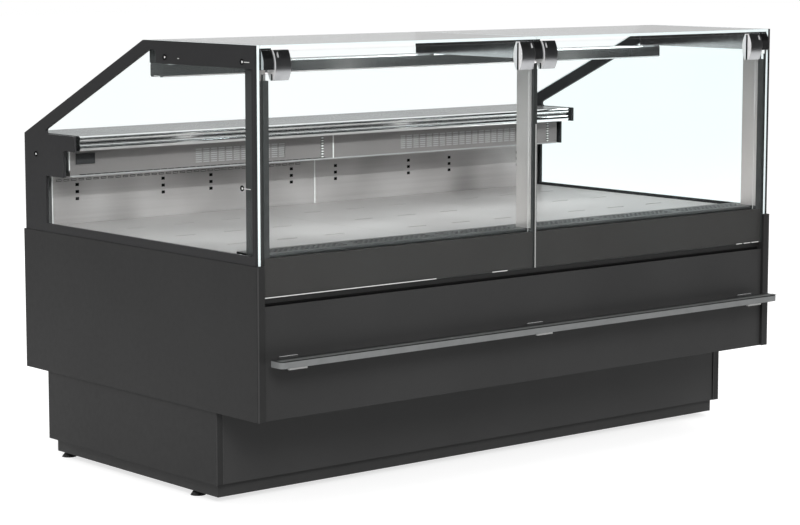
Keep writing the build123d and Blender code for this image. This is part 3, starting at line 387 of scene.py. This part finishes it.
def bars(name, corners, material):
    """Plain blocks between pairs of corners, as one piece."""
    vertices = []
    faces = []
    for (x0, y0, z0), (x1, y1, z1) in corners:
        n = len(vertices)
        vertices += [(x, y, z) for x in (x0, x1) for y in (y0, y1) for z in (z0, z1)]
        sides = [(0, 1, 3, 2), (4, 6, 7, 5), (0, 4, 5, 1), (2, 3, 7, 6), (0, 2, 6, 4), (1, 5, 7, 3)]
        faces += [tuple(n + i for i in side) for side in sides]
    return add_mesh(name, vertices, faces, material)


SIDES = (("left", -1), ("right", 1))

# Socket-head caps on the end frames, as (distance behind the frame's front, Z), with light domes off their
# centres as painted highlights
CAPS = [(1.08, 0.899), (0.407, 1.206), (0.052, 1.206), (0.055, 0.8745)]
RING = [(0.0078, 0.0), (0.0078, 0.0016), (0.0066, 0.0026), (0.0046, 0.0026), (0.0044, 0.0004)]
HIGHLIGHT_DOME = [(0.0036, 0.0), (0.0036, 0.0024), (0.0024, 0.003)]
HIGHLIGHT_DOME_SHIFT = 0.0035
for side, way in SIDES:
    low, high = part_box(side + "_end_frame")
    face = low.x if way < 0 else high.x
    for index, (behind, z) in enumerate(CAPS):
        place = (face, low.y + behind, z)
        fitted(turned(f"{side}_cap_ring_{index}", RING, place, way, black_paint_and_hole_shade))
        # Painted highlight: a light dome off the cap's centre
        place = (face, low.y + behind - HIGHLIGHT_DOME_SHIFT, z)
        fitted(turned(f"{side}_cap_highlight_{index}", HIGHLIGHT_DOME, place, way, lamp))

# Painted highlights: bright dashes beside three of the caps, as (first and last distance behind the frame's
# front, Z)
CAP_GLINTS = [(0.02, 0.043, 1.2055), (0.018, 0.046, 0.874), (0.338, 0.345, 1.2045)]
GLINT_HALF = 0.001
for side, way in SIDES:
    low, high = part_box(side + "_end_frame")
    face = low.x if way < 0 else high.x
    pins = []
    for first, last, z in CAP_GLINTS:
        pins.append(((face, low.y + first, z - GLINT_HALF),
                     (face + way * GLINT_HALF, low.y + last, z + GLINT_HALF)))
    fitted(bars(side + "_cap_glints", pins, lamp))

# Grey strips on the outer sides of the end posts' seals
STRIP_FOOT = 0.70
STRIP_THICK = 0.0006
seal_low, seal_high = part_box("post_seals")
for side, way in SIDES:
    low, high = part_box(side + "_post")
    face = seal_low.x if way < 0 else seal_high.x
    strip = [((face, low.y, STRIP_FOOT), (face + way * STRIP_THICK, high.y, high.z))]
    fitted(bars(side + "_post_strip", strip, strip_paint))

# Painted highlights: bright strips where the duct and back panels meet, and at their left ends
JOINT_HALF, JOINT_PROUD, JOINT_INSET = 0.002, 0.0006, 0.002
GLINT_WIDE, GLINT_DEEP, GLINT_FOOT, GLINT_HEAD = 0.003, 0.002, 0.02, 0.001
for name in ("duct_panel", "back_panel"):
    low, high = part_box("left_" + name)
    ends = [((-JOINT_HALF, low.y - JOINT_PROUD, low.z + JOINT_INSET),
             (JOINT_HALF, low.y, high.z - JOINT_INSET))]
    ends.append(((low.x - GLINT_WIDE, low.y, low.z + GLINT_FOOT),
                 (low.x, low.y + GLINT_DEEP, high.z - GLINT_HEAD)))
    fitted(bars("panel_glints_" + name, ends, lamp))

# Duct panels: a light backing in the slots, painted light seen through them, ribs across them, and light
# dots on a dark strip, painted light through holes.
# The depths are distances behind the panel's front.
ROWS, ROW_PITCH, ROW_HALF = 7, 0.0064, 0.0016
COLUMNS, COLUMN_PITCH, RIB = 18, 0.02843, 0.0056
FIELD_SHIFT = 0.042
BACKING_DEPTH = (0.001, 0.0016)
RIB_DEPTH = (0.0001, 0.0009)
PLAIN_DEPTH = (0.0001, 0.0012)
DOTS, DOT_PITCH, DOT_WIDE, DOT_HIGH, DOT_EDGE = 8, 0.0084, 0.0044, 0.0022, 0.043
DOT_PROUD = 0.0006
DOT_STRIP_HALF, DOT_STRIP_PROUD = 0.0055, 0.0002
for side in ("left", "right"):
    low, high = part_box(side + "_duct_panel")
    middle_x = (low.x + high.x) / 2 + FIELD_SHIFT
    middle_z = (low.z + high.z) / 2
    half = COLUMNS * COLUMN_PITCH / 2
    top = middle_z + ROWS / 2 * ROW_PITCH
    bottom = middle_z - ROWS / 2 * ROW_PITCH
    first = middle_x - half + (COLUMNS / 3 * COLUMN_PITCH if side == "left" else RIB)
    last = middle_x + half - RIB
    shine = []
    for row in range(ROWS):
        z = middle_z + (row - (ROWS - 1) / 2) * ROW_PITCH
        shine.append(((first, low.y + BACKING_DEPTH[0], z - ROW_HALF),
                     (last, low.y + BACKING_DEPTH[1], z + ROW_HALF)))
    fitted(bars(side + "_slot_shine", shine, slot_light_and_lip_highlight))
    ribs = []
    for column in range(1, COLUMNS):
        x = middle_x + (column - COLUMNS / 2) * COLUMN_PITCH
        if x > first:
            ribs.append(((x - RIB / 2, low.y + RIB_DEPTH[0], bottom),
                         (x + RIB / 2, low.y + RIB_DEPTH[1], top)))
    plain = [((middle_x - half, low.y + PLAIN_DEPTH[0], bottom), (first, low.y + PLAIN_DEPTH[1], top))]
    fitted(bars(side + "_slot_ribs", ribs + plain, duct_steel))
    # The light dots are painted light seen through holes
    x = high.x - DOT_EDGE
    dots = []
    for dot in range(DOTS):
        z = middle_z + (dot - (DOTS - 1) / 2) * DOT_PITCH
        dots.append(((x - DOT_WIDE, low.y - DOT_PROUD, z - DOT_HIGH),
                     (x + DOT_WIDE, low.y, z + DOT_HIGH)))
    fitted(bars(side + "_duct_dots", dots, lamp))
    reach = DOTS / 2 * DOT_PITCH
    strip = [((x - DOT_STRIP_HALF, low.y - DOT_STRIP_PROUD, middle_z - reach),
              (x + DOT_STRIP_HALF, low.y, middle_z + reach))]
    fitted(bars(side + "_dot_strip", strip, screen))

# Painted shade: black blocks over the shelf holes, standing for the dark inside them
HOLE_COLUMNS = (-0.402, -0.095, 0.083, 0.393)
HOLE_DROPS = (0.033, 0.054, 0.075)
HOLE_WIDE, HOLE_HIGH, HOLE_PROUD = 0.006, 0.0046, 0.0004
for side in ("left", "right"):
    low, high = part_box(side + "_back_panel")
    shade_blocks = []
    for x in ((low.x + high.x) / 2 + column for column in HOLE_COLUMNS):
        for z in (high.z - drop for drop in HOLE_DROPS):
            shade_blocks.append(((x - HOLE_WIDE, low.y - HOLE_PROUD, z - HOLE_HIGH),
                             (x + HOLE_WIDE, low.y, z + HOLE_HIGH)))
    fitted(bars(side + "_hole_shade_blocks", shade_blocks, black_paint_and_hole_shade))

# Painted highlights: bright strips on the rolled lips along the lower front edges of the duct panels
LIP, LIP_PROUD = 0.0042, 0.0008
for side in ("left", "right"):
    low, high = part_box(side + "_duct_panel")
    lip = [((low.x, low.y - LIP_PROUD, low.z), (high.x, low.y, low.z + LIP))]
    fitted(bars(side + "_duct_lip_highlight", lip, slot_light_and_lip_highlight))

# Painted shade and highlights: rows of short dark bars standing for the shade in slots, one over the left
# duct panel's lip, one under it with light middles as painted highlights
DASH, DASH_PITCH, DASH_DROP, DASHES = 0.018, 0.026, 0.018, 36
DASH_START, DASH_HALF, DASH_PROUD = 0.012, 0.0029, 0.0003
MIDDLE_INSET, MIDDLE_HALF, MIDDLE_PROUD = 0.001, 0.0013, 0.0004
UPPER_START, UPPER_END, UPPER_LIFT, UPPER_HIGH = 0.02, 0.043, 0.0008, 0.002
duct_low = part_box("left_duct_panel")[0]
low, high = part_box("left_back_panel")
dash_shades = []
highlights = []
for k in range(DASHES - 1):
    x = low.x + DASH_START + k * DASH_PITCH
    z = high.z - DASH_DROP
    dash_shades.append(((x, low.y - DASH_PROUD, z - DASH_HALF), (x + DASH, low.y, z + DASH_HALF)))
    highlights.append(((x + MIDDLE_INSET, low.y - MIDDLE_PROUD, z - MIDDLE_HALF),
                    (x + DASH - MIDDLE_INSET, low.y, z + MIDDLE_HALF)))
    z = duct_low.z + LIP + UPPER_LIFT
    dash_shades.append(((x + UPPER_START, duct_low.y - DASH_PROUD, z),
                   (x + UPPER_END, duct_low.y, z + UPPER_HIGH)))
fitted(bars("panel_dash_shades", dash_shades, black_paint_and_hole_shade))
fitted(bars("panel_dash_highlights", highlights, deck_steel_and_dash_highlights))

# Black gaskets between the canopy arms and the top glass
ARM_WIDE = 0.016
GASKET_THICK, GASKET_HIGH, GASKET_REAR = 0.001, 0.006, 0.008
low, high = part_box("canopy_arms")
gaskets = []
for x in (low.x + ARM_WIDE, -ARM_WIDE / 2 - GASKET_THICK, ARM_WIDE / 2, high.x - ARM_WIDE - GASKET_THICK):
    gaskets.append(((x, low.y, high.z - GASKET_HIGH), (x + GASKET_THICK, high.y - GASKET_REAR, high.z)))
fitted(bars("arm_gaskets", gaskets, rubber))

# Painted highlights: bright strips on the edges of the front seals of two posts
EDGE_THICK, EDGE_INSET, EDGE_TOP = 0.0003, 0.0004, 1.16
edges = []
for name in ("mid_post", "right_post"):
    low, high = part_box(name)
    edges.append(((low.x - EDGE_THICK, seal_low.y + EDGE_INSET, STRIP_FOOT),
                  (low.x, low.y - EDGE_INSET, EDGE_TOP)))
fitted(bars("post_seal_highlights", edges, post_steel_and_seal_highlights))

# Painted highlights: light strips on the toes of the bumper brackets and along the shoulder of the bar
TOE_WIDE, TOE_DEEP, TOE_HALF = 0.06, 0.007, 0.0035
SHOULDER_DEEP, SHOULDER_HIGH = 0.022, 0.0003
low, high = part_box("bumper_brackets")
toe_highlights = []
for x in (low.x, -TOE_WIDE / 2, high.x - TOE_WIDE):
    toe_highlights.append(((x, low.y - TOE_DEEP, low.z - TOE_HALF), (x + TOE_WIDE, low.y, low.z + TOE_HALF)))
fitted(bars("bracket_toe_highlights", toe_highlights, lamp))
low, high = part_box("bumper_bar")
shoulder = [((low.x, low.y, high.z), (high.x, low.y + SHOULDER_DEEP, high.z + SHOULDER_HIGH))]
fitted(bars("bumper_shoulder_highlight", shoulder, shoulder_highlight))

# Painted highlights: light lines on the front edges of the end and plinth panels, as distances in from the
# outer side
EDGE_LINES = {"_end_panel": [(0.0, 0.005)], "_plinth_panel": [(0.0, 0.004), (0.022, 0.025)]}
LINE_PROUD = 0.0003
lines = []
for side, way in SIDES:
    for panel, runs in EDGE_LINES.items():
        low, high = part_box(side + panel)
        outer = low.x if way < 0 else high.x
        for a, b in runs:
            lines.append(((outer - way * a, low.y - LINE_PROUD, low.z), (outer - way * b, low.y, high.z)))
fitted(bars("panel_edge_highlights", lines, edge_highlight))

# Painted shade: dark strips over the finger groove between the front panel and the band, where shade falls
BAND_SHEET, GROOVE_END = 0.002, 0.002
SHADE_THICK, SHADE_FOOT, SHADE_TOP, SHADE_FRONT = 0.0003, 0.006, 0.02, 0.001
low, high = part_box("lower_front_panel")
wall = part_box("upper_front_band")[1].y - BAND_SHEET
left, right = low.x + GROOVE_END, high.x - GROOVE_END
face = wall - SHADE_THICK
shade_strip = [((left, face, high.z + SHADE_FOOT), (right, wall, high.z + SHADE_TOP))]
# The seal rubber colour here is painted shade
fitted(bars("groove_shade_strip", shade_strip, rubber))
groove_foot_shade = [((left, face, high.z), (right, wall, high.z + SHADE_FOOT))]
groove_foot_shade.append(((left, low.y + SHADE_FRONT, high.z), (right, face, high.z + SHADE_THICK)))
fitted(bars("groove_foot_shade", groove_foot_shade, groove_shade_paint))

# Ribs across the long slots of the return air grille
GRILLE_RIB, GRILLE_PITCH, GRILLE_RIBS = 0.008, 0.0183, 14
BAY, BAY_MIDDLE = 0.31267, 0.48
SLOT_PITCH, SLOT_HALF = 0.02, 0.0045
GRILLE_DEPTH = (0.0018, 0.0002)
low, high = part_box("return_air_grille")
ribs = []
for middle in (side * BAY_MIDDLE + bay * BAY for side in (-1, 1) for bay in (-1, 0, 1)):
    for row in (-1, 0, 1):
        y = (low.y + high.y) / 2 + row * SLOT_PITCH
        for k in range(GRILLE_RIBS):
            x = middle + (k - (GRILLE_RIBS - 1) / 2) * GRILLE_PITCH
            ribs.append(((x - GRILLE_RIB / 2, y - SLOT_HALF, high.z - GRILLE_DEPTH[0]),
                         (x + GRILLE_RIB / 2, y + SLOT_HALF, high.z - GRILLE_DEPTH[1])))
fitted(bars("grille_ribs", ribs, grille_steel))

# Painted highlights: bright stretches on the ground lower edges of the panes, and on the right pane's edge
# at the middle seam
PANE_EDGE_GLINTS = {
    "left": [(-0.971, -0.375), (-0.165, -0.107)],
    "right": [(0.856, 0.882), (0.89, 0.92), (0.926, 0.958)],
}
PANE_EDGE_PROUD, PANE_EDGE_HIGH = 0.0002, 0.0024
SEAM_THICK, SEAM_DEPTH, SEAM_TOP = 0.0003, (0.0005, 0.0045), 1.0
for side, runs in PANE_EDGE_GLINTS.items():
    low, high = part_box(side + "_front_pane")
    corners = [((a, low.y - PANE_EDGE_PROUD, low.z), (b, low.y, low.z + PANE_EDGE_HIGH)) for a, b in runs]
    if side == "right":
        corners.append(((low.x - SEAM_THICK, low.y + SEAM_DEPTH[0], low.z),
                        (low.x, low.y + SEAM_DEPTH[1], SEAM_TOP)))
    fitted(bars(side + "_pane_edge_glint", corners, lamp), side + "_front_glass")


# Studio: pale floor with the shadow, white surroundings, soft lamps
WHITE = (1, 1, 1, 1)
FLOOR_GREY = (0.5, 0.5, 0.5, 1)
FLOOR_GLOW = 0.72
FLOOR_REACH = 40
FILL_LEVEL = 0.6
LAMP_GAP = 0.002


def seen_directly(tree, path):
    """1 for camera, glossy and transmission rays that no matt surface has scattered."""
    total = path.outputs["Is Camera Ray"]
    steps = [("MAXIMUM", path.outputs["Is Glossy Ray"]), ("MAXIMUM", path.outputs["Is Transmission Ray"])]
    clean = tree.nodes.new("ShaderNodeMath")
    clean.operation = "LESS_THAN"
    clean.inputs[1].default_value = 0.5
    tree.links.new(path.outputs["Diffuse Depth"], clean.inputs[0])
    for operation, socket in steps + [("MULTIPLY", clean.outputs[0])]:
        made = tree.nodes.new("ShaderNodeMath")
        made.operation = operation
        tree.links.new(total, made.inputs[0])
        tree.links.new(socket, made.inputs[1])
        total = made.outputs[0]
    return total


def floor_material():
    """Matt floor that looks white apart from the shadow."""
    look = bpy.data.materials.new("studio floor")
    look.use_nodes = True
    tree = look.node_tree
    tree.nodes.clear()
    out = tree.nodes.new("ShaderNodeOutputMaterial")
    path = tree.nodes.new("ShaderNodeLightPath")
    paint = tree.nodes.new("ShaderNodeBsdfDiffuse")
    paint.inputs["Color"].default_value = FLOOR_GREY
    glow = tree.nodes.new("ShaderNodeEmission")
    glow.inputs["Strength"].default_value = FLOOR_GLOW
    both = tree.nodes.new("ShaderNodeAddShader")
    mix = tree.nodes.new("ShaderNodeMixShader")
    tree.links.new(paint.outputs[0], both.inputs[0])
    tree.links.new(glow.outputs[0], both.inputs[1])
    tree.links.new(seen_directly(tree, path), mix.inputs["Fac"])
    tree.links.new(paint.outputs[0], mix.inputs[1])
    tree.links.new(both.outputs[0], mix.inputs[2])
    tree.links.new(mix.outputs[0], out.inputs["Surface"])
    return look


def studio_world():
    """Even fill light, with a white background where it is seen."""
    world = bpy.data.worlds.new("studio")
    bpy.context.scene.world = world
    world.use_nodes = True
    tree = world.node_tree
    tree.nodes.clear()
    out = tree.nodes.new("ShaderNodeOutputWorld")
    path = tree.nodes.new("ShaderNodeLightPath")
    fill = tree.nodes.new("ShaderNodeBackground")
    fill.inputs["Color"].default_value = WHITE
    fill.inputs["Strength"].default_value = FILL_LEVEL
    white = tree.nodes.new("ShaderNodeBackground")
    white.inputs["Color"].default_value = WHITE
    white.inputs["Strength"].default_value = 1.0
    mix = tree.nodes.new("ShaderNodeMixShader")
    tree.links.new(seen_directly(tree, path), mix.inputs["Fac"])
    tree.links.new(fill.outputs[0], mix.inputs[1])
    tree.links.new(white.outputs[0], mix.inputs[2])
    tree.links.new(mix.outputs[0], out.inputs["Surface"])


def turn_to(made, place, aim):
    """Put an object at a place, with its -Z side towards the aim."""
    made.location = place
    made.rotation_mode = "QUATERNION"
    made.rotation_quaternion = (Vector(aim) - Vector(place)).to_track_quat("-Z", "Y")


def area_lamp(name, place, aim, size, power):
    """Rectangular lamp that reflections don't show."""
    data = bpy.data.lights.new(name, "AREA")
    data.shape = "RECTANGLE"
    data.size, data.size_y = size
    data.energy = power
    made = bpy.data.objects.new(name, data)
    turn_to(made, place, aim)
    made.visible_glossy = False
    bpy.context.scene.collection.objects.link(made)
    return made


def card(name, place, aim, size, level):
    """Studio card of an even brightness that only reflections see, also through glass."""
    paint = bpy.data.materials.new(name)
    paint.use_nodes = True
    paint.cycles.emission_sampling = "NONE"
    tree = paint.node_tree
    tree.nodes.clear()
    out = tree.nodes.new("ShaderNodeOutputMaterial")
    path = tree.nodes.new("ShaderNodeLightPath")
    reflected = tree.nodes.new("ShaderNodeMath")
    reflected.operation = "GREATER_THAN"
    reflected.inputs[1].default_value = 0.5
    clear = tree.nodes.new("ShaderNodeBsdfTransparent")
    glow = tree.nodes.new("ShaderNodeEmission")
    glow.inputs["Strength"].default_value = level
    mix = tree.nodes.new("ShaderNodeMixShader")
    tree.links.new(path.outputs["Glossy Depth"], reflected.inputs[0])
    tree.links.new(reflected.outputs[0], mix.inputs["Fac"])
    tree.links.new(clear.outputs[0], mix.inputs[1])
    tree.links.new(glow.outputs[0], mix.inputs[2])
    tree.links.new(mix.outputs[0], out.inputs["Surface"])
    w, h = size[0] / 2, size[1] / 2
    made = add_mesh(name, [(-w, -h, 0), (w, -h, 0), (w, h, 0), (-w, h, 0)], [(0, 1, 2, 3)], paint)
    turn_to(made, place, aim)
    made.visible_camera = False
    made.visible_diffuse = False
    made.visible_shadow = False
    return made


corners = [(x * FLOOR_REACH, y * FLOOR_REACH, 0) for x, y in ((-1, -1), (1, -1), (1, 1), (-1, 1))]
add_mesh("studio_floor", corners, [(0, 1, 2, 3)], floor_material())
studio_world()
middle = (0, 0, 0.7)
area_lamp("key_lamp", (-4.0, -6.0, 5.0), middle, (4.0, 3.0), 300)
area_lamp("side_lamp", (5.5, -1.0, 6.0), middle, (3.5, 3.0), 150)
area_lamp("rear_lamp", (0.5, 5.5, 4.5), middle, (5.0, 2.5), 150)
low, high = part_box("led_lamp")
glow = ((low.x + high.x) / 2, (low.y + high.y) / 2, low.z - LAMP_GAP)
area_lamp("canopy_glow", glow, (glow[0], glow[1], 0), (1.9, 0.026), 9)
card("front_card", (3.6, -4.4, 2.2), (0, 0, 1.2), (7.0, 4.6), 0.05)
card("floor_card", (4.0, -6.75, 0.004), (4.0, -6.75, 2.0), (12.0, 7.5), 0.02)
card("roof_card", (1.25, -1.75, 2.4), (1.25, -1.75, 0.0), (5.5, 2.5), 0.02)
card("rear_card", (5.0, 8.0, 1.4), (0, 0, 1.4), (16.0, 2.8), 0.64)
card("upper_card", (5.0, 8.0, 4.4), (0, 0, 1.0), (16.0, 3.0), 0.15)
card("left_card", (-5.5, 6.2, 1.6), (0, 0, 1.2), (7.0, 3.2), 0.03)

# Camera at the photograph's viewing angle
AZIMUTH = math.radians(39.941)
DOWN = math.radians(7.424)
camera_data = bpy.data.cameras.new("camera")
camera_data.sensor_width = 36
camera_data.lens = 109.32
camera_data.clip_end = 200
camera = bpy.data.objects.new("camera", camera_data)
camera.location = (-4.7578, -5.6195, 1.5057)
ahead = math.cos(DOWN)
looking = Vector((math.sin(AZIMUTH) * ahead, math.cos(AZIMUTH) * ahead, -math.sin(DOWN)))
camera.rotation_mode = "QUATERNION"
camera.rotation_quaternion = looking.to_track_quat("-Z", "Y")
bpy.context.scene.collection.objects.link(camera)
bpy.context.scene.camera = camera
bpy.context.scene.view_settings.view_transform = "Standard"

bpy.context.view_layer.update()
